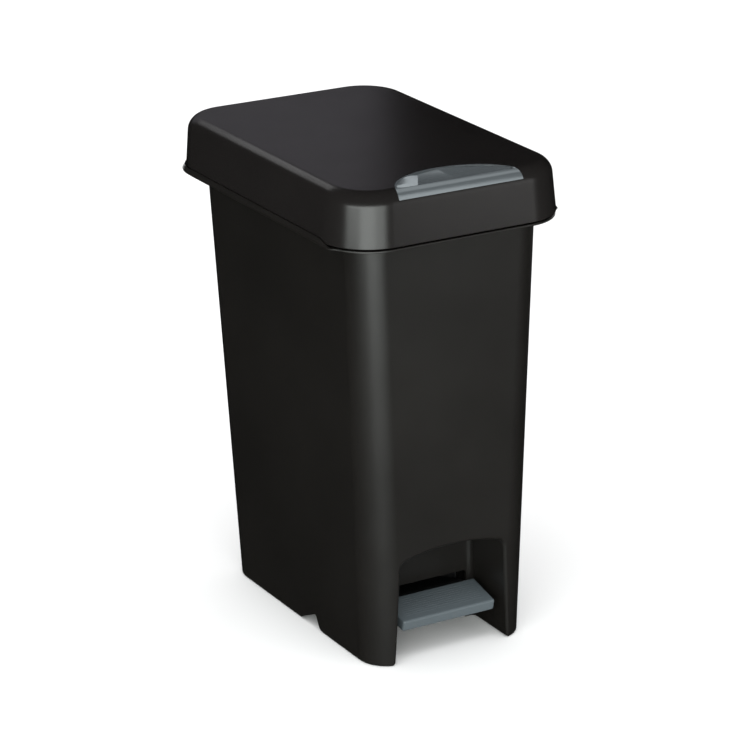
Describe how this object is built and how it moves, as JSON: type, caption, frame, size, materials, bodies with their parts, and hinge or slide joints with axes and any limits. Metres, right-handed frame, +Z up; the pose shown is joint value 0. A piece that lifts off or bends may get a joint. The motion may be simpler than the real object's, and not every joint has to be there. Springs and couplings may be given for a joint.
{
  "type": "pedal trash can",
  "caption": "Slim upright kitchen pedal bin: tapered shell with a toe recess, hinged lid with a grey handle insert, pedal lever, lift rod and lift-out bucket.",
  "frame": {"origin": "on the floor, in the middle of the bin's box", "axes": "+X to the right seen from the pedal, -Y towards the pedal, +Z up"},
  "size_m": [0.2136, 0.2978, 0.4],
  "materials": {
    "black_plastic": "satin black polypropylene with a fine moulded grain",
    "lid_plastic": "satin black polypropylene, finer grain on the lid",
    "handle_plastic": "slate-grey plastic, smooth and slightly glossy",
    "slate_plastic": "slate-grey plastic with a soft sheen and faint tread ribs",
    "dark_plastic": "near-black moulded plastic",
    "bucket_plastic": "charcoal polypropylene, matt inside",
    "nylon": "dark grey nylon, smooth where it runs",
    "steel": "zinc-plated steel"
  },
  "bodies": {
    "housing": {"outer_shell": "black_plastic", "rod_guide_upper": "dark_plastic", "rod_guide_lower": "dark_plastic", "rod_guide_screws": "steel", "axle_clip_left": "dark_plastic", "axle_clip_right": "dark_plastic", "lever_axle": "steel", "hinge_pin_left": "steel", "hinge_pin_right": "steel"},
    "lid": {"lid_shell": "lid_plastic", "lid_handle": "handle_plastic", "lift_arm": "dark_plastic", "lift_arm_screws": "steel", "lift_pin": "steel"},
    "pedal": {"pedal_lever": "dark_plastic", "pedal_tread": "slate_plastic", "tread_screws": "steel", "lever_bush_left": "nylon", "lever_bush_right": "nylon"},
    "rod": {"lift_rod": "steel", "rod_head": "nylon", "rod_foot": "nylon"},
    "bucket": {"inner_bucket": "bucket_plastic"}
  },
  "joints": [
    {"name": "lid_hinge", "type": "hinge", "parent": "housing", "child": "lid", "pos_m": [0, 0.1385, 0.3625], "axis": [-1, 0, 0], "range_deg": [0, 75]},
    {"name": "pedal_pivot", "type": "hinge", "parent": "housing", "child": "pedal", "pos_m": [0, -0.04, 0.02], "axis": [1, 0, 0], "range_deg": [0, 11.8]},
    {"name": "rod_slide", "type": "slide", "parent": "housing", "child": "rod", "axis": [0, 0.0735, 0.9973], "range_m": [0, 0.02922]},
    {"name": "bucket_lift", "type": "slide", "parent": "housing", "child": "bucket", "axis": [0, 0, 1], "range_m": [0, 0.012]}
  ],
  "couplings": [
    {"joint": "pedal_pivot", "follows": "lid_hinge", "ratio": 0.15733},
    {"joint": "rod_slide", "follows": "lid_hinge", "m_per_rad": 0.022323}
  ]
}
